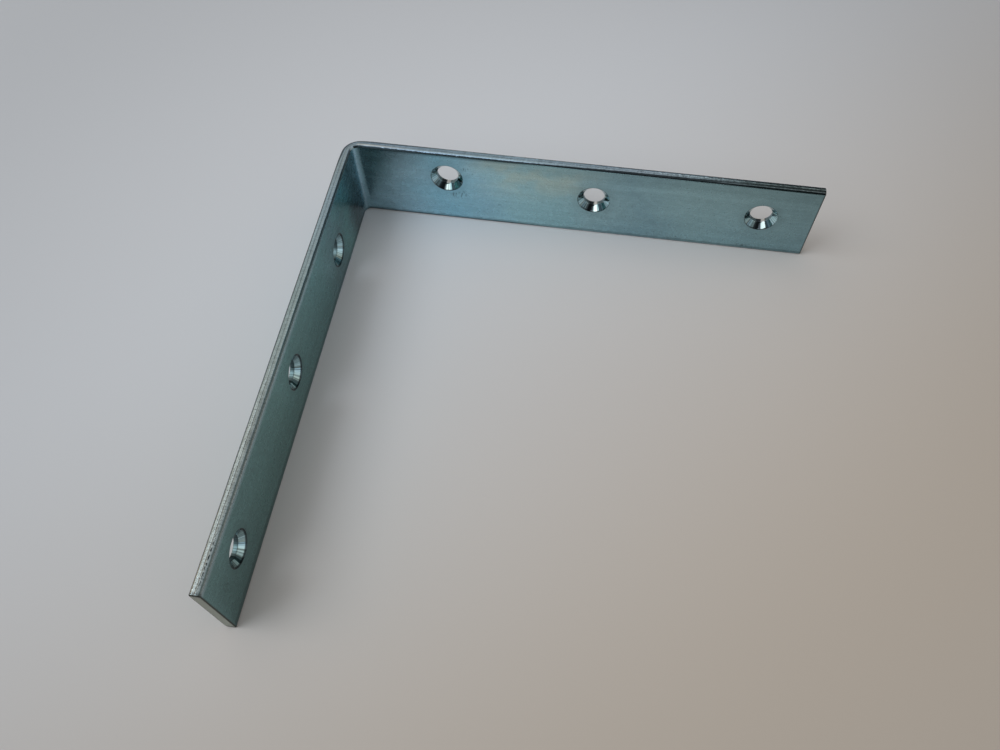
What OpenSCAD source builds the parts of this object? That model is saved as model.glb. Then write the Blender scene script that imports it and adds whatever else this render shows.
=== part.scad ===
// Corner brace bracket: one flat steel strip with two equal legs, bent once to a right angle.
// It stands on a long edge, so the width of the strip runs along +Z. One leg lies along +X at
// the back and the other comes forward along -Y at the left. Each leg has three countersunk
// screw holes, with the countersinks on the inner faces. All sizes are in millimetres, and the
// origin is the middle of the bounding box, at the level of the surface that it stands on.

/* [Strip] */
// Length of each leg, along its outer face
leg_l = 100; // [70:1:160]
// Width of the strip, which is the height of the standing bracket
strip_w = 18; // [16:0.5:30]
// Thickness of the strip
strip_t = 2; // [1.8:0.1:4]
// Rounding of the two long edges of the outer face
outer_round = 0.5; // [0.1:0.1:0.8]
// Rounding of the two long edges of the inner face
inner_round = 0.4; // [0.1:0.1:1.0]

/* [Bend] */
// Inner radius of the bend
bend_r = 1.5; // [0.8:0.1:6]

/* [Screw holes] */
// Diameter of the bore that a screw's shank passes through
bore_d = 4.6; // [4:0.1:5.4]
// Diameter of the countersink at the inner face
sink_d = 6.9; // [6.4:0.1:8]
// Full angle of the countersink
sink_angle = 90; // [82:1:100]
// Distance from the other leg's outer face to the hole nearest the bend
bend_hole = 21.6; // [16:0.1:28]
// Distance from the free end of the leg to the hole nearest it
end_hole = 11; // [6:0.5:18]
// Distance of the middle hole from halfway between the other two, towards the bend
mid_shift = 1.9; // [-5:0.1:5]
// Distance of the hole nearest the bend from the line of the other two: up at the back, down in front
stagger = 1.9; // [0:0.1:2.2]
// Height of that line above the middle of the width
line_rise = 0.7; // [-1:0.1:1]

/* [Hidden] */
$fn = 96;
// Length by which a cutter runs past the face that it opens
over = 1;
bend_out_r = bend_r + strip_t;
straight_l = leg_l - bend_out_r;
sink_depth = (sink_d - bore_d) / 2 / tan(sink_angle / 2);
mid_hole = (bend_hole + leg_l - end_hole) / 2 - mid_shift;
last_hole = leg_l - end_hole;
line_z = strip_w / 2 + line_rise;

// Cross-section of the strip: x runs from the outer face to the inner face, y up the width.
// The corner points are where the flats end, and a circle fills out each rounded edge.
module strip_section() {
    edges = [[outer_round, outer_round], [strip_t - inner_round, inner_round]];
    flat_0 = edges[0].x;
    flat_1 = edges[1].x;
    polygon([
        [flat_0, 0], [flat_1, 0],
        [strip_t, inner_round], [strip_t, strip_w - inner_round],
        [flat_1, strip_w], [flat_0, strip_w],
        [0, strip_w - outer_round], [0, outer_round]
    ]);
    for (edge = edges, y = [edge.y, strip_w - edge.y])
        translate([edge.x, y]) circle(r = edge.y);
}

// Cutter for one hole along +Y, from the outer face at y = 0 to the countersink's mouth.
module screw_hole() {
    rotate([-90, 0, 0]) {
        translate([0, 0, -over])
            cylinder(d = bore_d, h = strip_t + over);
        translate([0, 0, strip_t - sink_depth])
            cylinder(
                d1 = bore_d,
                d2 = sink_d + 2 * over * tan(sink_angle / 2),
                h = sink_depth + over
            );
    }
}

// Straight part of a leg: x runs along it from the outer corner, y from its outer face inwards.
// side is 1 where the hole nearest the bend lies above the line of the others, and -1 below.
module leg(side) {
    difference() {
        translate([bend_out_r, 0, 0])
            rotate([90, 0, 90])
                linear_extrude(straight_l) strip_section();
        for (at = [[bend_hole, line_z + side * stagger], [mid_hole, line_z], [last_hole, line_z]])
            translate([at.x, 0, at.y]) screw_hole();
    }
}

// Quarter turn that joins the legs, round the bend's centre.
module bend() {
    translate([bend_out_r, -bend_out_r, 0])
        rotate([0, 0, 90])
            rotate_extrude(angle = 90)
                translate([bend_out_r, 0]) mirror([1, 0]) strip_section();
}

// The whole bracket, placed by the point where its two outer faces would meet.
module corner_brace() {
    color("#83979b")
        translate([-leg_l / 2, leg_l / 2, 0])
            union() {
                mirror([0, 1, 0]) leg(1);
                rotate([0, 0, -90]) leg(-1);
                bend();
            }
}

corner_brace();
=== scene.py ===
"""Corner brace bracket: a flat steel strip bent once to a right angle, zinc plated and blue passivated."""

import bmesh
import bpy
import numpy as np
from mathutils import Matrix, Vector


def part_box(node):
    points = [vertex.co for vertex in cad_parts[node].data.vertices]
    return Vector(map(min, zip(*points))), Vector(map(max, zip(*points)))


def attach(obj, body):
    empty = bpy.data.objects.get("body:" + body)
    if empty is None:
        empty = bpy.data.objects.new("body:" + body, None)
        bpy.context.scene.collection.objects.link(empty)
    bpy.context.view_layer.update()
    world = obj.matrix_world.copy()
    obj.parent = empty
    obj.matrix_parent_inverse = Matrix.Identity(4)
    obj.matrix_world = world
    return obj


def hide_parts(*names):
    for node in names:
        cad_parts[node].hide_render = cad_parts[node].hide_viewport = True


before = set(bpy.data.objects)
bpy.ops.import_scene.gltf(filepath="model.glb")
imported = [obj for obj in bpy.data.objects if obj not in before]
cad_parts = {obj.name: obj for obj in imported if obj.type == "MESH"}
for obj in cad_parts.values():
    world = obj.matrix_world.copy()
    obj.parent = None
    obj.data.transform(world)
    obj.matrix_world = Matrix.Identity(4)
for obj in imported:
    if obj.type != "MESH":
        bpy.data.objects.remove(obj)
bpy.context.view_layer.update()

# ---------------------------------------------------------------- sizes, in millimetres
# the strip is the CAD's: its overall sizes and its place come from the box, and the rest repeats the source
MM = 0.001
low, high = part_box("corner_brace")
LEG = (high.x - low.x) / MM
WIDTH = (high.z - low.z) / MM
THICK = 2.0
# radii: the long edges at the inner and at the outer face, the inside of the bend, and the cut ends
ROUND_IN = 0.4
ROUND_OUT = 0.5
BEND_IN = 1.5
END_ROUND = 0.16
# half the bend along the middle of its wall, and the straight rest of a leg
HALF_BEND = np.pi / 4 * (BEND_IN + THICK / 2)
STRAIGHT = LEG - BEND_IN - THICK
BEND_CENTRE = np.array([low.x / MM + BEND_IN + THICK, high.y / MM - BEND_IN - THICK])

# bending: the share of the wall that thins away, the most that its outer edges draw in, and half the length
# of the bell over which both happen
THINNED = 0.1
DRAWN_IN = 0.15
BELL = 2.7
# slitting: place of the step line out through the wall, its depth and half its width, where the torn grain
# starts and ends, and the fall of the top edge at the inner face
STEP_AT = 1.06
STEP_DEEP = 0.045
STEP_HALF = 0.05
TORN_START = 1.02
TORN_END = 1.62
TOP_FALL = 0.3
# rolling: how far the faces wander in
WANDER = 0.018

# the mesh: its usual step, half the side of the square that it leaves free for a hole, the points round a
# hole, the steps over half the bend, and the slack when two places are compared
CELL = 0.38
HOLE_SQUARE = 12 * CELL
AROUND = 96
BEND_STEPS = 12
SLACK = 1e-6

# holes: radius of the bore, of the cone at the inner face, and of the lips that round off either mouth
BORE_R = 2.3
SINK_R = 3.45
MOUTH_IN = SINK_R + 0.05
MOUTH_OUT = BORE_R + 0.09
# height of the holes, and how far the two by the bend are staggered from it
HOLE_Z = 9.7
STAGGER = 5 * CELL
# distance of each hole from the start of its leg, and its height on the front and on the back leg
HOLES = ((18.1, HOLE_Z - STAGGER, HOLE_Z + STAGGER), (49.9, HOLE_Z, HOLE_Z), (85.5, HOLE_Z, HOLE_Z))
# scuffs of the inner face: distance along the strip from the middle of the bend, height, half length, half
# height, strength
SCUFFS = ((24.1, 14.6, 1.0, 0.55, 1.0), (21.8, 7.1, 1.1, 0.8, 1.0), (23.5, 7.6, 0.9, 1.0, 1.0),
          (31.3, 5.3, 0.5, 0.35, 1.0), (-6.0, 16.0, 0.5, 0.6, 0.9), (85.2, 1.1, 1.6, 0.5, 0.9),
          (-94.3, 9.6, 1.6, 2.2, 0.62), (54.0, 5.0, 2.6, 1.1, 0.42), (60.4, 9.2, 1.5, 1.4, 0.38))

# what the mesh tells the finishes of every point, and the order of the finishes
NOTES = ("from_hole", "through", "scuffed")
ROLLED, SLIT, CUT, SINK, PUNCHED = range(5)
# a hole's wall is mapped to a circle of radius 1, and the circles stand this far apart
MAP_STEP = 3.0


# ---------------------------------------------------------------- shape
def ripple(a, b, seed, waves=16):
    """Smooth random relief of about -1 to 1: the sum of plane waves over (a, b), each about 1 long,
    turned and shifted at random, divided by the root of their number."""
    rng = np.random.default_rng(seed)
    turn, shift = rng.uniform(0, 2 * np.pi, (2, waves))
    count = 2 * np.pi * rng.uniform(0.6, 1.5, waves)
    phase = a[..., None] * count * np.cos(turn) + b[..., None] * count * np.sin(turn)
    return np.sin(phase + shift).sum(-1) / np.sqrt(waves)


def relief(s, t, z):
    """What making it does to the drawn strip, as new (s, t, z).
    Bending: the wall thins and its outer edges draw in, both as a bell curve over the bend.
    Slitting: the top edge falls off towards the inner face by the fourth power of the way from its middle,
    and a step line runs a little past the middle of both edges, with torn grain on its outer side.
    Rolling: both faces wander together by a few hundredths, in waves some 30 long."""
    bell = np.exp(-((s / BELL) ** 2))
    side = np.sign(z - WIDTH / 2)
    reach = np.abs(z - WIDTH / 2)
    # slitting marks only the last tenth of a millimetre
    on_edge = np.clip((reach - WIDTH / 2 + 0.12) / 0.08, 0, 1)
    step = STEP_DEEP * np.exp(-(((t - STEP_AT) / STEP_HALF) ** 2))
    # torn grain, some 1.3 long and 0.45 wide, and fainter and broader waves over the whole edge
    torn = np.clip((t - TORN_START) / 0.1, 0, 1) * np.clip((TORN_END - t) / 0.15, 0, 1)
    torn = torn * np.maximum(0.016 + 0.014 * ripple(s / 1.3, t / 0.45, seed=3), 0)
    worn = 0.006 * np.maximum(1 + ripple(s / 2.6, t / 0.6, seed=4), 0)
    drawn = DRAWN_IN * bell * np.clip(t / THICK, 0, 1) ** 1.5
    edge_round = np.where(t < THICK / 2, ROUND_IN, ROUND_OUT)
    fall = TOP_FALL * np.clip(1 - t, 0, 1) ** 4 * np.clip(1 - (WIDTH / 2 - reach) / edge_round, 0, 1)
    reach = reach - on_edge * (step + torn + worn) - drawn * reach / (WIDTH / 2) - fall * (side > 0)
    wander = WANDER * np.maximum(1 + ripple(s / 34, z / 30, seed=5), 0)
    t = t * (1 - THINNED * bell) - wander * t / THICK
    return s, t, WIDTH / 2 + side * reach


def bent(s, t, z):
    """Place on the bracket, in metres, of a point of the flat strip: s along it from the middle of the bend,
    t out through the wall from the inner face, z up. Over the bend s turns round the bend's centre, and
    what is left of s runs straight on along the leg."""
    over = np.clip(s, -HALF_BEND, HALF_BEND)
    turn = np.pi / 4 * (1 - over / HALF_BEND)
    out = BEND_IN + t
    x = BEND_CENTRE[0] - np.sin(turn) * out + np.cos(turn) * (s - over)
    y = BEND_CENTRE[1] + np.cos(turn) * out + np.sin(turn) * (s - over)
    return np.stack([x, y, z], -1) * MM


def spread(*stops):
    """One line of numbers through all the stops, in even steps of about CELL between each two."""
    runs = [np.linspace(a, b, max(1, round((b - a) / CELL)) + 1)[:-1] for a, b in zip(stops, stops[1:])]
    return np.concatenate([*runs, stops[-1:]])


def arc(centre_t, centre_z, radius, start, end, count):
    """Points of an arc of the section, as t and z."""
    turn = np.linspace(start, end, count)
    return centre_t + radius * np.cos(turn), centre_z + radius * np.sin(turn)


# places along the strip, which hit the sides of every hole's square: half of them, and then all
leg_stops = [0.0]
for along, *_ in HOLES:
    leg_stops += [along - HOLE_SQUARE, along + HOLE_SQUARE]
leg_line = spread(*leg_stops, STRAIGHT - END_ROUND)
half_line = np.concatenate([np.linspace(0, HALF_BEND, BEND_STEPS + 1), HALF_BEND + leg_line[1:]])
S_LINE = np.concatenate([-half_line[::-1], half_line[1:]])

# heights on the inner and on the outer face, which hit them too, because the stagger is a number of cells
heights = HOLE_Z + CELL * np.arange(-23, 20)
Z_IN, Z_OUT = [np.concatenate([[edge, edge + first], heights, [WIDTH - edge - first, WIDTH - edge]])
               for edge, first in ((ROUND_IN, 0.1), (ROUND_OUT, 0.07))]

# the top edge of the section, from the inner face over to the outer one, closer round the step line
in_t, in_z = arc(ROUND_IN, WIDTH - ROUND_IN, ROUND_IN, np.pi, np.pi / 2, 9)
flat_t = np.array([0.47, 0.56, 0.66, 0.78, 0.9, 0.98, 1.02, 1.06, 1.1, 1.16, 1.26, 1.36, 1.44])
out_t, out_z = arc(THICK - ROUND_OUT, WIDTH - ROUND_OUT, ROUND_OUT, np.pi / 2, 0, 9)
TOP_T = np.concatenate([in_t, flat_t, out_t])
TOP_Z = np.concatenate([in_z, np.full(len(flat_t), WIDTH), out_z])

sheets = []


def notes(s, t, z):
    """What the finishes ask of a point, in the order of NOTES: its distance from the rim of the nearest hole
    (the cone's rim, and on the outer face the bore's mouth) and its depth through the wall, in millimetres,
    and how scuffed it is, as a sum of bells round the scuffs of the inner face."""
    nearest = np.full(np.shape(s), np.inf)
    for along, front_z, back_z in HOLES:
        for centre, height in ((-HALF_BEND - along, front_z), (HALF_BEND + along, back_z)):
            nearest = np.minimum(nearest, np.hypot(s - centre, z - height))
    rim = np.where(t > THICK - 0.01, MOUTH_OUT, SINK_R)
    scuffed = sum(strength * np.exp(-(((s - s0) / wide) ** 2) - ((z - z0) / tall) ** 2)
                  for s0, z0, wide, tall, strength in SCUFFS)
    return np.stack([nearest - rim, t, scuffed * (t < THICK / 2)], -1)


def lay(s, t, z, u, v, finish):
    """Keeps one sheet of the skin: its grid of places, its map, its notes and the number of its finish."""
    s, t, z, u, v = np.broadcast_arrays(s, t, z, u, v)
    sheets.append((bent(*relief(s, t, z)), np.stack([u, v], -1), notes(s, t, z), finish))


def lay_face(s, t, z):
    """A sheet of a broad face. Its map runs along the strip and up the inner face, or down the outer one."""
    lay(s, t, z, s, z if t == 0 else 2 * WIDTH + THICK - z, ROLLED)


def plain_face(s_line, z_line, t):
    """A flat grid of one broad face."""
    s, z = np.meshgrid(s_line, z_line, indexing="ij")
    lay_face(s, t, z)


def square_ring(half, count):
    """Points round a square, counted from the middle of its right side, count of them on every side."""
    step = np.linspace(-half, half, count + 1)[:-1]
    x = np.concatenate([np.full(count, half), -step, np.full(count, -half), step])
    y = np.concatenate([step, np.full(count, half), -step, np.full(count, -half)])
    return np.append(x, x[0]), np.append(y, y[0])


def round_turns():
    """Turns once round a hole, from a corner of its square back to it."""
    return -np.pi / 4 + np.linspace(0, 2 * np.pi, AROUND + 1)


def hole_disc(s0, z0, t):
    """Rings between the mouth of a hole and its square: a straight mix of the circle and the square, in
    steps that grow from the mouth out."""
    square_x, square_y = square_ring(HOLE_SQUARE, AROUND // 4)
    radius = MOUTH_IN if t == 0 else MOUTH_OUT
    first_steps = [0, 0.03, 0.1, 0.22] if t == 0 else [0, 0.02, 0.08, 0.2]
    mix = np.array([*first_steps, 0.38, 0.58, 0.79, 1.0])
    x = np.outer(1 - mix, radius * np.cos(round_turns())) + np.outer(mix, square_x)
    y = np.outer(1 - mix, radius * np.sin(round_turns())) + np.outer(mix, square_y)
    lay_face(s0 + x, t, z0 + y)


def leg_face(t):
    """One broad face: strips of grid between the holes, and round each hole a disc of rings that go from its
    round mouth to the square that the grid leaves free."""
    lines = Z_IN if t == 0 else Z_OUT
    for side in (-1, 1):
        start = HALF_BEND
        for along, front_z, back_z in HOLES:
            centre, height = HALF_BEND + along, (front_z, back_z)[side > 0]
            before = (S_LINE * side >= start - SLACK) & (S_LINE * side <= centre - HOLE_SQUARE + SLACK)
            plain_face(S_LINE[before], lines, t)
            beside = S_LINE[np.abs(S_LINE * side - centre) <= HOLE_SQUARE + SLACK]
            plain_face(beside, lines[lines >= height + HOLE_SQUARE - SLACK], t)
            plain_face(beside, lines[lines <= height - HOLE_SQUARE + SLACK], t)
            hole_disc(side * centre, height, t)
            start = centre + HOLE_SQUARE
        plain_face(S_LINE[S_LINE * side >= start - SLACK], lines, t)
    plain_face(S_LINE[np.abs(S_LINE) <= HALF_BEND + SLACK], lines, t)


def hole_wall(s0, z0, number):
    """The wall of a hole: a profile of radius and depth turned round its axis. It rolls in over a small lip,
    runs down the cone to the bore, and rolls out over a wider lip where the punch went in. Tool chatter draws
    the cone in by up to two hundredths, as waves round it."""
    turn = round_turns()
    waves = np.array([[6], [9], [13]])
    shift = np.random.default_rng(20 + number).uniform(0, 2 * np.pi, (len(waves), 1))
    chatter = 0.009 * (1 + np.sin(waves * turn + shift).sum(0) / len(waves))
    # the cone's depth, and the profile's points as radius and depth
    deep = SINK_R - BORE_R
    lip = ((MOUTH_IN, 0.0), (SINK_R + 0.012, 0.006), (SINK_R - 0.025, 0.03))
    cone = [(SINK_R - d, d) for d in np.linspace(0.07, deep - 0.05, 9)]
    bore = [(BORE_R + 0.012, deep - 0.005), *((BORE_R, deep + d) for d in (0.05, 0.2, 0.4, 0.6))]
    roll = [(BORE_R + 0.004, 1.88), (BORE_R + 0.02, 1.94), (BORE_R + 0.05, 1.98), (MOUTH_OUT, THICK)]
    profile = np.array([*lip, *cone, *bore, *roll])
    cone_end = len(lip) + len(cone)
    for part, finish in ((profile[:cone_end], SINK), (profile[cone_end - 1:], PUNCHED)):
        r, t = part.T[..., None]
        r = r - chatter * ((t > 0.05) & (t < deep - 0.06))
        lay(s0 + r * np.cos(turn), t, z0 + r * np.sin(turn),
            MAP_STEP * number + np.cos(turn), np.sin(turn), finish)


def long_edge(top):
    """A long edge: the rounded profile carried along the strip. Its map runs along it and out through the
    wall."""
    s, t = np.broadcast_arrays(S_LINE[:, None], TOP_T)
    z = TOP_Z if top else WIDTH - TOP_Z
    lay(s, t, z, s, WIDTH + t if top else 2 * WIDTH + 2 * THICK - t, SLIT)


def strip_end(side):
    """A cut end: the section shrinks over a small round, and the face across it is filled between its four
    sides by the sum of the two ruled surfaces less the one through the corners."""
    half = len(in_t) // 2
    corner_t, corner_z = in_t[1:half + 1], in_z[1:half + 1]
    inner = np.stack([np.concatenate([corner_t[::-1], np.zeros(len(Z_IN)), corner_t]),
                      np.concatenate([WIDTH - corner_z[::-1], Z_IN, corner_z])], -1)
    corner_t, corner_z = out_t[half:-1], out_z[half:-1]
    outer = np.stack([np.concatenate([corner_t, np.full(len(Z_OUT), THICK), corner_t[::-1]]),
                      np.concatenate([WIDTH - corner_z, Z_OUT, corner_z[::-1]])], -1)
    over = np.stack([TOP_T, TOP_Z], -1)[half:len(TOP_T) - half]
    below = over * (1, -1) + (0, WIDTH)
    # a goes from the inner face to the outer one, b from the lower edge to the upper one
    a = ((over[:, 0] - over[0, 0]) / np.ptp(over[:, 0]))[None, :, None]
    b = ((inner[:, 1] - inner[0, 1]) / np.ptp(inner[:, 1]))[:, None, None]
    cap = (1 - a) * inner[:, None] + a * outer[:, None] + (1 - b) * below[None] + b * over[None]
    cap = cap - (1 - b) * ((1 - a) * inner[0] + a * outer[0]) - b * ((1 - a) * inner[-1] + a * outer[-1])
    loop = np.concatenate([inner, over[1:], outer[::-1][1:], below[::-1][1:]])
    middle = np.array([THICK / 2, WIDTH / 2])
    turn = np.linspace(0, np.pi / 2, 6)[:, None, None]
    rim = middle + (loop - middle) * (1 - END_ROUND * (1 - np.cos(turn)) / middle)
    along = side * (HALF_BEND + STRAIGHT - END_ROUND * (1 - np.sin(turn[..., 0])))
    lay(along, rim[..., 0], rim[..., 1], rim[..., 0], rim[..., 1], CUT)
    cap = middle + (cap - middle) * (1 - END_ROUND / middle)
    lay(side * (HALF_BEND + STRAIGHT), cap[..., 0], cap[..., 1], cap[..., 0], cap[..., 1], CUT)


def lay_strip():
    """Lays all the sheets of the strip's skin."""
    leg_face(0.0)
    leg_face(THICK)
    for number, (along, front_z, back_z) in enumerate(HOLES):
        hole_wall(-HALF_BEND - along, front_z, number)
        hole_wall(HALF_BEND + along, back_z, number + len(HOLES))
    long_edge(True)
    long_edge(False)
    strip_end(-1)
    strip_end(1)


def joined_strip():
    """Joins the sheets into one closed mesh: each grid gives its quads, and points that meet are merged."""
    verts, quads, maps, noted, finishes, count = [], [], [], [], [], 0
    for places, uv, told, finish in sheets:
        rows, cols = places.shape[:2]
        index = np.arange(rows * cols).reshape(rows, cols)
        quad = np.stack([index[:-1, :-1], index[1:, :-1], index[1:, 1:], index[:-1, 1:]], -1).reshape(-1, 4)
        verts.append(places.reshape(-1, 3))
        quads.append(quad + count)
        maps.append(uv.reshape(-1, 2)[quad.ravel()])
        noted.append(told.reshape(-1, len(NOTES)))
        finishes.append(np.full(len(quad), finish))
        count += rows * cols
    mesh = bpy.data.meshes.new("bent_strip")
    mesh.from_pydata(np.concatenate(verts), [], np.concatenate(quads))
    unrolled = mesh.uv_layers.new(name="unrolled").data
    unrolled.foreach_set("uv", np.concatenate(maps).astype(np.float32).ravel())
    mesh.polygons.foreach_set("material_index", np.concatenate(finishes).astype(np.int32))
    for name, told in zip(NOTES, np.concatenate(noted).T):
        mesh.attributes.new(name, "FLOAT", "POINT").data.foreach_set("value", told.astype(np.float32))
    shell = bmesh.new()
    shell.from_mesh(mesh)
    bmesh.ops.remove_doubles(shell, verts=shell.verts, dist=0.002 * MM)
    bmesh.ops.recalc_face_normals(shell, faces=shell.faces)
    shell.to_mesh(mesh)
    shell.free()
    mesh.shade_smooth()
    return mesh


# ---------------------------------------------------------------- finishes
def colour(code):
    """Linear colour of an sRGB hex value."""
    srgb = np.array([int(code[i:i + 2], 16) for i in (1, 3, 5)]) / 255
    linear = np.where(srgb <= 0.04045, srgb / 12.92, ((srgb + 0.055) / 1.055) ** 2.4)
    return (*linear, 1.0)


def add(tree, kind, *inputs, stops=(), **settings):
    """Adds a node to the tree. kind is its type without ShaderNode in front. inputs are in the node's own
    order: plain values, nodes (their first output) or outputs, and None for one that is left alone. settings
    are the node's own properties, and stops the places and sRGB hex values of a colour ramp."""
    made = tree.nodes.new("ShaderNode" + kind)
    for name, value in settings.items():
        setattr(made, name, value)
    for number, (place, code) in enumerate(stops):
        elements = made.color_ramp.elements
        element = elements[number] if number < 2 else elements.new(place)
        element.position = place
        element.color = colour(code)
    for number, value in enumerate(inputs):
        if isinstance(value, bpy.types.Node):
            value = value.outputs[0]
        if isinstance(value, bpy.types.NodeSocket):
            tree.links.new(value, made.inputs[number])
        elif value is not None:
            made.inputs[number].default_value = value
    return made


# settings that many nodes share
TIMES = {"operation": "MULTIPLY"}
PLUS = {"operation": "ADD"}
LESS = {"operation": "SUBTRACT"}
MOST = {"operation": "MAXIMUM"}
TIMES_PLUS = {"operation": "MULTIPLY_ADD"}
SIZE_OF = {"operation": "ABSOLUTE"}
EASED = {"interpolation_type": "SMOOTHSTEP"}
TINTED = {"blend_type": "MULTIPLY"}
FLAT = {"noise_dimensions": "2D"}


def within(tree, amount, *ranges):
    """The amount times an eased step for each range: a value, where its step starts and where it ends, and
    what the step starts and ends at where that isn't 0 and 1."""
    for span in ranges:
        amount = add(tree, "Math", amount, add(tree, "MapRange", *span, **EASED), **TIMES)
    return amount


def varied(tree, shade, *parts):
    """The shade times every part, a noise and its depth: 1 give or take half the depth."""
    for noise, depth in parts:
        factor = add(tree, "Math", noise, depth, 1 - depth / 2, **TIMES_PLUS)
        shade = add(tree, "Math", shade, factor, **TIMES)
    return shade


def away(tree, value, centre):
    """How far the value is from the centre, on either side."""
    return add(tree, "Math", add(tree, "Math", value, -centre, **PLUS), **SIZE_OF)


def new_finish(name):
    """An empty material, and its node tree."""
    made = bpy.data.materials.new(name)
    made.use_nodes = True
    made.node_tree.nodes.clear()
    return made, made.node_tree


# tints along the strip, of the faces' film and of the slit edges: distance from the middle of the bend in
# millimetres, and sRGB. A ramp covers RAMP millimetres and has the bend at its middle.
RAMP = 200
FILM = [(along / RAMP + 0.5, code) for along, code in (
    (-98, "#789fa0"), (-60, "#75a19e"), (-30, "#6a9c9d"), (-20, "#6b9498"), (-13, "#6fa6a4"), (-5, "#6f9096"),
    (0, "#8fb1bb"), (8, "#b0d4e2"), (20, "#9acada"), (28, "#a0c9d6"), (36, "#a4ccd3"), (44, "#9dc3c9"),
    (52, "#9cbcc2"), (62, "#8eafb8"), (72, "#97b8be"), (84, "#92b3ba"), (96, "#86a6ae"))]
# past 76 mm on the back leg the edge tints turn dark: painted shade of a dark part of the room seen in the
# edge
EDGE_TINT = [(along / RAMP + 0.5, code) for along, code in (
    (-98, "#b4c0c2"), (-70, "#b4c1c4"), (-40, "#b4cad2"), (-16, "#bcd6ea"), (-5, "#b2c6d2"), (6, "#afc7df"),
    (30, "#b5d2e5"), (62, "#c5d7e2"), (76, "#b4c7cd"), (84, "#7c8c8e"), (98, "#869292"))]


def straw_film(tree, along, over, inside, clouds, patches):
    """The film's tint along the strip, which clouds shift by up to 8 mm either way, with a straw tint where
    the film is thicker: over the upper half of the back leg past its first hole."""
    place = add(tree, "Math", along, add(tree, "Math", clouds, 16.0, -8.0, **TIMES_PLUS), **PLUS)
    film = add(tree, "ValToRGB", add(tree, "Math", place, 1 / RAMP, 0.5, **TIMES_PLUS), stops=FILM)
    straw = add(tree, "MapRange", patches, 0.34, 0.62, 0.12, 0.5, **EASED)
    straw = within(tree, straw, (along, 22, 31), (along, 56, 44), (over, 6, 15))
    return add(tree, "MixRGB", add(tree, "Math", straw, inside, **TIMES), film, colour("#c4cbb8"))


def painted_face_shade(tree, along, over):
    """How much darker the film is painted: painted shade on the front leg towards its foot and beside the
    bend, and on the back leg at the top near the bend, with a fainter darkening along the rest of that top."""
    # painted shade on the front leg, darker towards its foot
    painted_shade = add(tree, "MapRange", over, 13, 1, 0.0, 0.14, **EASED)
    painted_shade = within(tree, painted_shade, (along, -12, -22))
    # painted shade at the top of the back leg near the bend
    top_shade_near_bend = add(tree, "MapRange", over, 12, 17, 0.0, 0.3, **EASED)
    top_shade_near_bend = within(tree, top_shade_near_bend, (along, 18, 6), (along, 0, 4))
    high_up = add(tree, "MapRange", over, 13.5, 16.5, 0.0, 0.12, **EASED)
    high_up = within(tree, high_up, (along, 14, 26))
    # painted shade on the front leg beside the bend, darker lower down
    beside = add(tree, "MapRange", over, 13, 7, 0.28, 0.46, **EASED)
    beside = within(tree, beside, (along, -12, -7), (along, -1, -3))
    for part in (top_shade_near_bend, high_up, beside):
        painted_shade = add(tree, "Math", painted_shade, part, **PLUS)
    return painted_shade


def painted_face_lines(tree, skin, along, over, inside):
    """Painted lines on the faces: two painted highlights, up the middle of the bend and along the top of the
    front leg, and a line of painted shade just below the top of the back leg's first third."""
    # painted highlights up the middle of the bend and along the front leg's top
    bend_highlight = add(tree, "MapRange", away(tree, along, -0.2), 0.8, 0.1, 0.0, 0.2, **EASED)
    top_highlight = add(tree, "MapRange", over, 16.5, 17.2, 0.0, 0.35, **EASED)
    top_highlight = add(tree, "Math", within(tree, top_highlight, (along, -22, -40)), inside, **TIMES)
    skin = add(tree, "MixRGB", add(tree, "Math", bend_highlight, top_highlight, **MOST), skin, colour("#d6e6f2"))
    # painted shade just below the top edge of the back leg
    under_top_shade = add(tree, "MapRange", over, 16.9, 17.6, 0.0, 0.45, **EASED)
    under_top_shade = within(tree, under_top_shade, (along, 0, 4), (along, 44, 28))
    return add(tree, "MixRGB", add(tree, "Math", under_top_shade, inside, **TIMES), skin, colour("#28343a"))


def face_halos_and_shade(tree, along, over, hole, mottle, lines):
    """How dark the faces are: a darker halo round each hole, broken by the rolling lines, and painted shade
    in lines along the foot, at the cut ends and round the mouth of each hole."""
    foot = add(tree, "Math", mottle, 0.4, over, **TIMES_PLUS)
    foot = add(tree, "Math", foot, add(tree, "MapRange", along, 0, -10, 0.0, 0.75), **LESS)
    off_middle = add(tree, "Math", along, **SIZE_OF)
    halo = add(tree, "MapRange", hole, 0.3, 2.2, 0.22, 0.0, **EASED)
    halo_and_shade = add(tree, "Math", halo, lines, **TIMES)
    # painted shade along the foot, at the cut ends and round each hole's mouth
    for span in ((foot, 0.9, 1.25, 0.35, 0.0), (off_middle, 98.0, 98.35, 0.0, 0.6),
                 (hole, 0.02, 0.14, 0.7, 0.0)):
        halo_and_shade = add(tree, "Math", halo_and_shade, add(tree, "MapRange", *span, **EASED), **MOST)
    return halo_and_shade


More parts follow.
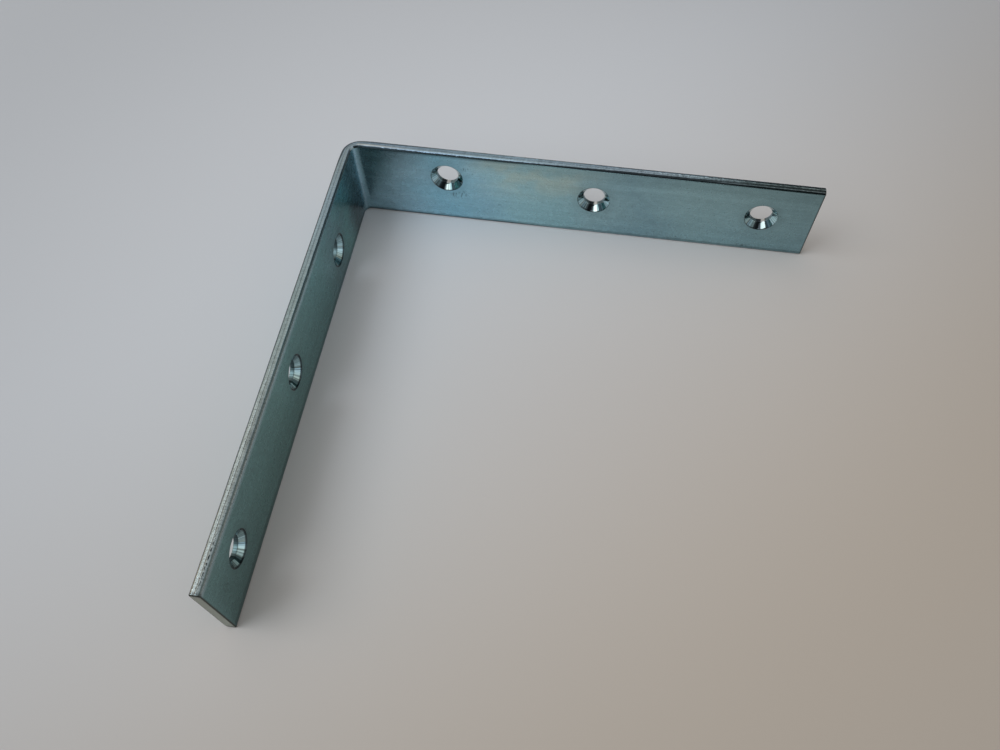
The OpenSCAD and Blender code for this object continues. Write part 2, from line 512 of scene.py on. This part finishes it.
def rolled_zinc():
    """Blue-passivated zinc of the broad faces: a film whose tint drifts along the strip, mottled, with fine
    rolling lines, a straw patch, small pits, scuffs, painted shade and painted highlights, darker halos round
    the holes, and painted shade at the foot, the cut ends and the hole mouths."""
    made, tree = new_finish("blue_passivated_zinc")
    mm = add(tree, "UVMap", uv_map="unrolled")
    apart = add(tree, "SeparateXYZ", mm)
    along, over = apart.outputs[0], apart.outputs[1]
    hole, through, scuffed = [add(tree, "Attribute", attribute_name=name).outputs["Fac"] for name in NOTES]
    # 1 on the inner face, 0 on the outer one
    inside = add(tree, "MapRange", through, THICK, 0)
    # noises: length and width of their features in millimetres, and detail
    clouds, mottle, lines, streaks, patches, specks, smears = [
        add(tree, "TexNoise", add(tree, "Mapping", mm, None, None, (1 / long, 1 / wide, 1)), None, 1.0,
            detail, **FLAT)
        for long, wide, detail in ((16, 9, 3), (1.6, 1.3, 4), (14, 0.32, 3), (38, 1.9, 2), (9, 5, 4),
                                   (0.5, 0.4, 2), (0.42, 1.3, 2))]
    skin = straw_film(tree, along, over, inside, clouds, patches)
    # painted shade, on the inner faces only
    painted_shade = add(tree, "Math", painted_face_shade(tree, along, over), inside, **TIMES)
    shade = varied(tree, add(tree, "Math", 1.0, painted_shade, **LESS),
                   (mottle, 0.22), (lines, 0.16), (streaks, 0.2), (clouds, 0.16))
    skin = add(tree, "MixRGB", 1.0, skin, shade, **TINTED)
    skin = painted_face_lines(tree, skin, along, over, inside)
    # small dark pits, and smears where the face is scuffed
    pits = add(tree, "MapRange", specks, 0.70, 0.80, 0.0, 0.5, **EASED)
    scuffs = within(tree, add(tree, "MapRange", scuffed, 0.15, 0.9, 0.0, 0.7, **EASED), (smears, 0.40, 0.72))
    skin = add(tree, "MixRGB", add(tree, "Math", pits, scuffs, **MOST), skin, colour("#364146"))
    # painted shade at the foot, the cut ends and the hole mouths, and darker halos round the holes
    halo_and_shade = face_halos_and_shade(tree, along, over, hole, mottle, lines)
    skin = add(tree, "MixRGB", halo_and_shade, skin, colour("#37393a"))
    rough = add(tree, "Math", mottle, 0.10, 0.22, **TIMES_PLUS)
    rough = add(tree, "Math", halo_and_shade, 0.2, rough, **TIMES_PLUS)
    height = add(tree, "Math", lines, 0.5, mottle, **TIMES_PLUS)
    bump = add(tree, "Bump", 0.35, 0.006 * MM, None, height)
    add(tree, "OutputMaterial", add(tree, "BsdfPrincipled", skin, 1.0, rough, None, None, bump))
    return made


def slit_shade(tree, through, far_back, far_front, across, fine, broad, tears):
    """Shade of a slit edge: striations across it, harder towards the ends, mottling, and blots towards the
    back leg's end. Towards the front leg's end painted shade darkens the inner half."""
    depth = add(tree, "Math", far_front, 0.3, 0.35, **TIMES_PLUS)
    depth = add(tree, "Math", far_back, 0.6, depth, **TIMES_PLUS)
    shade = add(tree, "Math", across, depth, 0.7, **TIMES_PLUS)
    shade = varied(tree, shade, (fine, 0.35), (broad, 0.4))
    blots = add(tree, "Math", add(tree, "Math", tears, 1.6, -0.8, **TIMES_PLUS), far_back, **TIMES)
    shade = add(tree, "Math", shade, add(tree, "Math", blots, 1.0, **PLUS), **TIMES)
    # painted shade over the inner half, towards the front leg's end
    inner_half_shade = add(tree, "MapRange", through, 1.05, 0.6, 0.0, 0.45, **EASED)
    inner_half_shade = add(tree, "Math", inner_half_shade, far_front, **TIMES)
    return add(tree, "Math", shade, add(tree, "Math", 1.0, inner_half_shade, **LESS), **TIMES)


def slit_bands(tree, skin, film, along, through, far_front):
    """Bands along a slit edge, mostly painted shade and painted highlights, laid over its skin from the inner
    corner to the outer one.
    """
    # the faces' own film comes over the inner corner, less far on the front leg, where the corner carries a
    # painted highlight
    bare = add(tree, "MapRange", along, -4, -20, 0.0, 0.12, **EASED)
    bare = add(tree, "MapRange", add(tree, "Math", through, bare, **PLUS), 0.0, 0.14, **EASED)
    skin = add(tree, "MixRGB", bare, film, skin)
    # painted highlight on the front leg's inner corner
    corner_highlight = add(tree, "MapRange", through, 0.17, 0.05, 0.0, 0.6, **EASED)
    corner_highlight = within(tree, corner_highlight, (along, -10, -46), (along, -92, -78, 0.4, 1.0))
    skin = add(tree, "MixRGB", corner_highlight, skin, colour("#e8f2f8"))
    # painted shade: a slate blue band on the outer side, wider by the bend and far down the back leg, and a
    # fainter one in the middle of the back leg's edge
    near_bend = within(tree, add(tree, "MapRange", along, 30, 6, 0.0, 0.36, **EASED), (along, -9, -1))
    shift = add(tree, "Math", near_bend, add(tree, "MapRange", along, 34, 54, 0.0, 0.24, **EASED), **PLUS)
    outer = add(tree, "MapRange", add(tree, "Math", through, shift, **PLUS), 1.6, 1.78, **EASED)
    outer = add(tree, "Math", outer, add(tree, "Math", far_front, -0.45, 0.72, **TIMES_PLUS), **TIMES)
    middle = add(tree, "MapRange", away(tree, through, 1.2), 0.34, 0.12, 0.0, 0.32, **EASED)
    middle = within(tree, middle, (along, -3, 3), (along, 75, 50))
    skin = add(tree, "MixRGB", add(tree, "Math", outer, middle, **MOST), skin, colour("#46586b"))
    # painted shade: the outer corner is darkest, and less so towards the front leg's end
    whole = add(tree, "MapRange", along, -45, -28, **EASED)
    rim = add(tree, "MapRange", add(tree, "Math", whole, 0.12, through, **TIMES_PLUS), 1.76, 1.90, **EASED)
    rim = add(tree, "Math", rim, add(tree, "Math", whole, 0.4, 0.5, **TIMES_PLUS), **TIMES)
    skin = add(tree, "MixRGB", rim, skin, colour("#363c48"))
    # a painted highlight: the outer half is brighter towards the front leg's end
    outer_highlight = add(tree, "MapRange", through, 0.85, 1.05, 0.0, 0.14, **EASED)
    outer_highlight = add(tree, "Math", within(tree, outer_highlight, (through, 1.72, 1.6)), far_front, **TIMES)
    skin = add(tree, "MixRGB", outer_highlight, skin, colour("#e6eae8"))
    # a gleam beside the dark line where the back leg starts
    gleam = add(tree, "MapRange", away(tree, through, 0.62), 0.32, 0.1, 0.0, 0.5, **EASED)
    gleam = within(tree, gleam, (along, 0.8, 1.8), (along, 14, 4))
    return add(tree, "MixRGB", gleam, skin, colour("#f2f8fc"))


def painted_dark_line(tree, along, through, wavy):
    """Painted shade in the dark line of the back leg: a narrow line by the inner corner, and a band that
    widens down the leg. It starts just past the bend's middle, and past the first hole it keeps off the very
    corner."""
    limit = add(tree, "MapRange", along, 4, 20, 0.38, 0.25, **EASED)
    line = add(tree, "MapRange", add(tree, "Math", wavy, limit, **LESS), 0.05, -0.05, 0.0, 0.93, **EASED)
    limit = add(tree, "MapRange", along, 28, 62, 0.22, 0.58, **EASED)
    band = add(tree, "MapRange", add(tree, "Math", wavy, limit, **LESS), 0.16, -0.10, 0.0, 0.96, **EASED)
    band = within(tree, band, (along, 74, 84, 1.0, 0.6))
    off_corner = add(tree, "Math", add(tree, "MapRange", through, 0.0, 0.09, **EASED),
                     add(tree, "MapRange", along, 46, 34, **EASED), **MOST)
    dark = add(tree, "Math", add(tree, "Math", line, band, **MOST), off_corner, **TIMES)
    return within(tree, dark, (along, 0.6, 1.2))


def slit_marks(tree, dark, along, through, wavy, far_front, far, across, fine, tears):
    """How dark a slit edge is: the painted dark line and, where they are darker, small marks beside it."""
    # a nick in the bend's inner corner
    nick = add(tree, "MapRange", away(tree, along, 0.5), 0.75, 0.3, **EASED)
    nick = within(tree, nick, (wavy, 0.6, 0.35, 0.0, 0.95))
    # the step line, stronger towards the front leg's end, and crumbs, stronger towards both ends
    step = add(tree, "Math", across, 0.2, through, **TIMES_PLUS)
    step = add(tree, "Math", step, STEP_AT + 0.08, 0.045, operation="COMPARE")
    step = add(tree, "Math", step, add(tree, "Math", far_front, 0.45, 0.2, **TIMES_PLUS), **TIMES)
    crumbs = add(tree, "MapRange", fine, 0.60, 0.70, **EASED)
    crumbs = add(tree, "Math", crumbs, add(tree, "Math", far, 0.7, 0.1, **TIMES_PLUS), **TIMES)
    # short black dashes along the inner half near the front leg's end, and its corners
    dashes = add(tree, "MapRange", away(tree, through, 0.72), 0.2, 0.08)
    dashes = within(tree, dashes, (tears, 0.48, 0.56), (along, -85, -92))
    corners = add(tree, "MapRange", along, -97.6, -98.3, 0.0, 0.6, **EASED)
    for part in (nick, step, crumbs, dashes, corners):
        dark = add(tree, "Math", dark, part, **MOST)
    return dark


def slit_zinc():
    """Zinc over the slit long edges. The faces' own film comes over the inner corner. From there out: a
    painted dark line of shade that widens down the back leg, striations across the middle, a step line, and
    bands of slate blue painted shade and of painted highlight on the outer side, with dark crumbs that
    thicken towards the ends."""
    made, tree = new_finish("slit_edge_zinc")
    mm = add(tree, "UVMap", uv_map="unrolled")
    along = add(tree, "SeparateXYZ", mm).outputs[0]
    through = add(tree, "Attribute", attribute_name="through").outputs["Fac"]
    place = add(tree, "Math", along, 1 / RAMP, 0.5, **TIMES_PLUS)
    tint, film = [add(tree, "ValToRGB", place, stops=stops) for stops in (EDGE_TINT, FILM)]
    # noises: length and width of their features in millimetres
    across, fine, broad, wave, tears = [
        add(tree, "TexNoise", add(tree, "Mapping", mm, None, None, (1 / long, 1 / wide, 1)), None, 1.0,
            3.0, **FLAT)
        for long, wide in ((0.34, 1.8), (0.24, 0.2), (7, 1.2), (0.8, 3), (0.6, 0.2))]
    # 1 near the end of the back leg, of the front leg and of either
    far_back = add(tree, "MapRange", along, 55, 80, **EASED)
    far_front = add(tree, "MapRange", along, -45, -72, **EASED)
    far = add(tree, "Math", far_back, far_front, **MOST)
    shade = slit_shade(tree, through, far_back, far_front, across, fine, broad, tears)
    skin = add(tree, "MixRGB", 1.0, tint, shade, **TINTED)
    skin = slit_bands(tree, skin, film, along, through, far_front)
    # the depth that the painted dark lines follow: it waves, and at the back leg's end it lags, which widens
    # them
    wavy = add(tree, "Math", add(tree, "Math", wave, 0.2, -0.1, **TIMES_PLUS), through, **PLUS)
    wavy = add(tree, "Math", wavy, add(tree, "MapRange", along, 70, 84, 0.0, 0.11, **EASED), **LESS)
    # painted shade: the front leg's dark line is teal, fainter and a little further out
    beside = add(tree, "MapRange", away(tree, wavy, 0.28), 0.19, 0.05, 0.0, 0.8, **EASED)
    beside = within(tree, beside, (along, -2, -9), (along, -72, -45, 0.5, 1.0))
    skin = add(tree, "MixRGB", beside, skin, colour("#3b6874"))
    dark = painted_dark_line(tree, along, through, wavy)
    dark = slit_marks(tree, dark, along, through, wavy, far_front, far, across, fine, tears)
    # the painted dark line of shade, with the small marks beside it
    skin = add(tree, "MixRGB", dark, skin, colour("#1e262a"))
    rough = add(tree, "Math", fine, 0.14, 0.12, **TIMES_PLUS)
    bump = add(tree, "Bump", 0.5, 0.015 * MM, None, add(tree, "Math", across, fine, **PLUS))
    add(tree, "OutputMaterial", add(tree, "BsdfPrincipled", skin, 1.0, rough, None, None, bump))
    return made


def cut_zinc():
    """Zinc over the cut ends: matt beige-grey, pitted, with drag lines down it and dark borders and
    corners."""
    made, tree = new_finish("cut_end_zinc")
    mm = add(tree, "UVMap", uv_map="unrolled")
    apart = add(tree, "SeparateXYZ", mm)
    # noises: width and height of their features in millimetres
    drag, pits = [
        add(tree, "TexNoise", add(tree, "Mapping", mm, None, None, (1 / wide, 1 / tall, 1)), None, 1.0,
            3.0, **FLAT)
        for wide, tall in ((0.25, 2.5), (0.28, 0.28))]
    shade = add(tree, "Math", add(tree, "Math", drag, 0.5, 0.75, **TIMES_PLUS),
                add(tree, "Math", pits, 0.5, 0.75, **TIMES_PLUS), **TIMES)
    skin = add(tree, "MixRGB", 1.0, colour("#a4aaa1"), shade, **TINTED)
    # borders: the way from the middle, across and up, frayed by the pits
    border = add(tree, "Math", pits, 0.2, away(tree, apart.outputs[0], THICK / 2), **TIMES_PLUS)
    border = add(tree, "MapRange", border, 0.84, 0.98, 0.0, 0.85, **EASED)
    corner = add(tree, "Math", pits, 0.6, away(tree, apart.outputs[1], WIDTH / 2), **TIMES_PLUS)
    corner = add(tree, "MapRange", corner, 8.5, 9.0, 0.0, 0.9, **EASED)
    skin = add(tree, "MixRGB", add(tree, "Math", border, corner, **MOST), skin, colour("#2a2e2c"))
    rough = add(tree, "Math", pits, 0.2, 0.4, **TIMES_PLUS)
    bump = add(tree, "Bump", 0.6, 0.03 * MM, None, pits)
    add(tree, "OutputMaterial", add(tree, "BsdfPrincipled", skin, 1.0, rough, None, None, bump))
    return made


# painted reflections in the cones of each leg, as lighter and darker sectors: turn round the hole in degrees,
# and sRGB
FRONT_CONE_REFLECTIONS = ((200, "#95b3b3"), (236, "#a2c0bc"), (250, "#5e787a"), (258, "#cceef2"), (268, "#c4e8f3"),
                (282, "#dcfcff"), (305, "#c8edf8"), (325, "#b5d7e1"), (345, "#c4e8ee"), (370, "#b0d0d7"),
                (410, "#accfd2"))
BACK_CONE_REFLECTIONS = ((181, "#9cc0c6"), (195, "#c4e8f3"), (212, "#aacad4"), (226, "#c0dde4"), (234, "#8e9ba6"),
               (240, "#5c646c"), (257, "#5c646c"), (263, "#f0ffff"), (276, "#f0ffff"), (281, "#a0c0c9"),
               (302, "#c0e4ee"), (326, "#d4f9ff"), (365, "#c4e8ee"), (530, "#95b8bd"))
# the bores carry the painted reflections on, more plainly
FRONT_BORE_REFLECTIONS = ((200, "#50666a"), (244, "#50666a"), (250, "#2c3a3c"), (257, "#788c90"), (282, "#86a0a4"),
              (325, "#64787e"), (370, "#5a6c70"))
BACK_BORE_REFLECTIONS = ((200, "#8fa6ae"), (226, "#9cb2ba"), (238, "#4a5258"), (257, "#4a5258"), (263, "#ffffff"),
             (276, "#ffffff"), (283, "#8fa6ae"), (326, "#a8c0c8"))
# on the back leg they turn on by so many degrees from each hole to the next
REFLECTIONS_TURN = 12


def reflection_turn(tree, apart, on_back):
    """Where a point lies round its hole, from 0 to 1 over the whole turn from 180 degrees on, less what the
    painted reflections have turned on by in that hole. apart holds the map's two directions."""
    level = add(tree, "Math", apart, MAP_STEP / 2, -MAP_STEP / 2, operation="WRAP")
    turn = add(tree, "Math", apart.outputs[1], level, operation="ARCTAN2")
    turn = add(tree, "Math", turn, 0.5 / np.pi, 0.5, **TIMES_PLUS)
    # the middle of the hole's map: it tells which hole it is, and the back leg's come after the front leg's
    centre = add(tree, "Math", apart, level, **LESS)
    each = REFLECTIONS_TURN / 360
    further = add(tree, "Math", centre, each / MAP_STEP, -each * len(HOLES), **TIMES_PLUS)
    return add(tree, "Math", turn, add(tree, "Math", further, on_back, **TIMES), **LESS)


def hole_zinc(name, front, back, roughness, contrast):
    """Bright zinc inside a hole, with painted reflections in each leg's holes as lighter and darker sectors
    round the wall, cutter streaks that run down the wall, and painted shade as a dark band at the mouth. The
    map is a circle of radius 1, and the streaks are a sixteenth of that wide, which is 0.2 mm at the rim."""
    made, tree = new_finish(name)
    round_hole = add(tree, "UVMap", uv_map="unrolled")
    hole = add(tree, "Attribute", attribute_name="from_hole").outputs["Fac"]
    apart = add(tree, "SeparateXYZ", round_hole)
    # 0 in the front leg's holes, 1 in the back leg's, whose maps come after them
    back_start = MAP_STEP * (len(HOLES) - 0.5)
    on_back = add(tree, "MapRange", apart, back_start - 0.1, back_start + 0.1)
    turn = reflection_turn(tree, apart, on_back)
    # painted reflections: lighter and darker sectors round each hole
    tints = [add(tree, "ValToRGB", turn, stops=[((degrees - 180) / 360, code) for degrees, code in reflections])
             for reflections in (front, back)]
    streaks = add(tree, "TexNoise", round_hole, None, 16.0, 2.0, **FLAT)
    shade = add(tree, "MapRange", streaks, 0.38, 0.58, 1 - contrast, 1.0, **EASED)
    skin = add(tree, "MixRGB", 1.0, add(tree, "MixRGB", on_back, *tints), shade, **TINTED)
    # painted shade: a dark band at the mouth, wider and darker in the front leg's holes
    mouth_shade = add(tree, "Math", on_back, -0.16, hole, **TIMES_PLUS)
    mouth_shade = add(tree, "MapRange", mouth_shade, -0.32, -0.18, 0.0, 0.88, **EASED)
    mouth_shade = add(tree, "Math", mouth_shade, add(tree, "Math", on_back, -0.35, 1.0, **TIMES_PLUS), **TIMES)
    skin = add(tree, "MixRGB", mouth_shade, skin, colour("#23292b"))
    rough = add(tree, "Math", streaks, 0.08, roughness - 0.04, **TIMES_PLUS)
    bump = add(tree, "Bump", 0.4, 0.01 * MM, None, streaks)
    add(tree, "OutputMaterial", add(tree, "BsdfPrincipled", skin, 1.0, rough, None, None, bump))
    return made


lay_strip()
brace = bpy.data.objects.new("bent_strip", joined_strip())
bpy.context.collection.objects.link(brace)
# in the order of ROLLED, SLIT, CUT, SINK, PUNCHED
for finish in (rolled_zinc(), slit_zinc(), cut_zinc(),
               hole_zinc("countersunk_zinc", FRONT_CONE_REFLECTIONS, BACK_CONE_REFLECTIONS, roughness=0.07, contrast=0.62),
               hole_zinc("punched_bore_zinc", FRONT_BORE_REFLECTIONS, BACK_BORE_REFLECTIONS, roughness=0.5, contrast=0.5)):
    brace.data.materials.append(finish)
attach(brace, "root")
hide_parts("corner_brace")

# ---------------------------------------------------------------- floor
# half its side, and the middle of its painted light patch, in metres
FLOOR_HALF = 3.0
PATCH = (0.0, 0.03, 0.0)


def pale_tabletop():
    """A pale matt top with painted light: cooler behind the bracket, warmer and duller in front on the right.
    It fades outwards, a painted fall-off of light round the bracket."""
    made, tree = new_finish("pale_tabletop")
    place = add(tree, "TexCoord").outputs["Object"]
    # millimetres across the top, from behind the bracket to the front right
    diagonal = (0.707 / MM, -0.707 / MM, 0)
    across = add(tree, "VectorMath", place, diagonal, operation="DOT_PRODUCT").outputs["Value"]
    # painted light: cool behind the bracket, warm in front on the right
    warm_light = add(tree, "MapRange", across, -75, 75, **EASED)
    out = add(tree, "VectorMath", place, PATCH, operation="DISTANCE").outputs["Value"]
    # painted fall-off of light, darker away from the patch
    light_falloff = add(tree, "MapRange", out, 0.04, 0.17, 1.0, 0.79, **EASED)
    top = add(tree, "MixRGB", warm_light, colour("#dcdde4"), colour("#c7baaf"))
    top = add(tree, "MixRGB", 1.0, top, light_falloff, **TINTED)
    add(tree, "OutputMaterial", add(tree, "BsdfPrincipled", top, 0.0, 0.6))
    return made


floor_mesh = bpy.data.meshes.new("floor")
corners = np.array([(-1, -1, 0), (1, -1, 0), (1, 1, 0), (-1, 1, 0)]) * FLOOR_HALF
floor_mesh.from_pydata(corners, [], [(0, 1, 2, 3)])
floor_mesh.materials.append(pale_tabletop())
floor = bpy.data.objects.new("floor", floor_mesh)
bpy.context.collection.objects.link(floor)

# ---------------------------------------------------------------- light
# soft glows of the room: azimuth, elevation, half width and soft rim in degrees, colour, strength
GLOWS = {
    "ceiling": (0, 88, 18, 20, "#fafcff", 0.76),
    "right_wall": (90, 42, 32, 12, "#fef5e6", 0.40),
    "back_wall": (-42, 45, 24, 12, "#fff7ea", 0.46),
    "back_pane": (1, 43, 6.5, 3, "#eef4ff", 0.46),
    "low_right": (110, 6, 13, 8, "#f2f4fa", 0.34),
    "low_side": (88, 12, 12, 10, "#b4dcff", 0.10),
    "skirting": (0, -90, 103, 10, "#eaf6ff", 0.06),
    "front_right": (126, 24, 10, 6, "#ecf8ff", 0.14),
    "front_low": (-132, 14, 14, 10, "#d4ecff", 0.10),
    "left_low": (-95, 28, 16, 12, "#ffc689", 0.80),
}
# colour and strength of the rest of the room
ROOM = ("#ecfcf8", 0.07)
# lamps: azimuth and elevation in degrees, distance, width and height in metres, colour, radiance
LAMPS = {
    "key": (-112, 53, 1.6, 0.9, 0.9, "#ecf9ff", 4.0),
    "window": (-163, 39, 1.6, 1.25, 0.42, "#f4ffff", 1.25),
}


def towards(azimuth, elevation):
    """Unit vector: azimuth from +Y towards +X and elevation above the floor, in degrees."""
    a, e = np.radians([azimuth, elevation])
    return np.array([np.sin(a) * np.cos(e), np.cos(a) * np.cos(e), np.sin(e)])


def soft_lamp(name, azimuth, elevation, distance, wide, tall, code, radiance):
    """A flat soft lamp that faces the middle of the bracket. Its power is pi times its area times its
    radiance."""
    lamp = bpy.data.lights.new(name, "AREA")
    lamp.shape = "RECTANGLE"
    lamp.size, lamp.size_y = wide, tall
    lamp.energy = np.pi * wide * tall * radiance
    lamp.color = colour(code)[:3]
    made = bpy.data.objects.new(name, lamp)
    back = towards(azimuth, elevation)
    side = np.cross((0, 0, 1), back)
    side = side / np.linalg.norm(side)
    turn = Matrix(np.stack([side, np.cross(back, side), back], -1))
    made.matrix_world = Matrix.Translation(back * distance) @ turn.to_4x4()
    bpy.context.collection.objects.link(made)


def room_light():
    """A dim room with a few soft glows on its walls: each is a smooth step of the angle from its middle."""
    world = bpy.data.worlds.new("room")
    world.use_nodes = True
    tree = world.node_tree
    tree.nodes.clear()
    seen = add(tree, "TexCoord").outputs["Generated"]
    total = add(tree, "Background", colour(ROOM[0]), ROOM[1], name="room_base")
    for name, (azimuth, elevation, half, rim, code, strength) in GLOWS.items():
        middle = towards(azimuth, elevation)
        angle = add(tree, "VectorMath", seen, middle, operation="DOT_PRODUCT").outputs["Value"]
        far, near = np.cos(np.radians([half + rim, max(half - rim, 0)]))
        step = add(tree, "MapRange", angle, far, near, **EASED)
        glow = add(tree, "Background", colour(code), strength, name=name)
        total = add(tree, "AddShader", total, add(tree, "MixShader", step, None, glow))
    add(tree, "OutputWorld", total)
    bpy.context.scene.world = world


room_light()
for name, values in LAMPS.items():
    soft_lamp(name, *values)

# ---------------------------------------------------------------- camera
# place in millimetres, and turns in degrees: from +Y towards +X, down, and round the line of sight
CAMERA_PLACE = np.array([6.279, -79.493, 137.953])
CAMERA_YAW, CAMERA_DOWN, CAMERA_ROLL = -7.542, 62.321, 0.410
# width of the sensor and focal length in millimetres, and the frame's shift in widths of it
SENSOR = 36.0
FOCAL = 28.965
SHIFT_X, SHIFT_Y = -0.0271, 0.0706
yaw, down, roll = np.radians([CAMERA_YAW, CAMERA_DOWN, CAMERA_ROLL])
look = np.array([np.sin(yaw) * np.cos(down), np.cos(yaw) * np.cos(down), -np.sin(down)])
right = np.array([np.cos(yaw), -np.sin(yaw), 0.0])
up = np.cross(right, look)
cos_roll, sin_roll = np.cos(roll), np.sin(roll)
turned = np.stack([cos_roll * right + sin_roll * up, cos_roll * up - sin_roll * right, -look], -1)
lens = bpy.data.cameras.new("camera")
lens.sensor_width = SENSOR
lens.lens = FOCAL
lens.shift_x = SHIFT_X
lens.shift_y = SHIFT_Y
lens.clip_start = 0.01
camera = bpy.data.objects.new("camera", lens)
camera.matrix_world = Matrix.Translation(CAMERA_PLACE * MM) @ Matrix(turned).to_4x4()
bpy.context.collection.objects.link(camera)
bpy.context.scene.camera = camera
bpy.context.scene.view_settings.view_transform = "Standard"

bpy.context.view_layer.update()
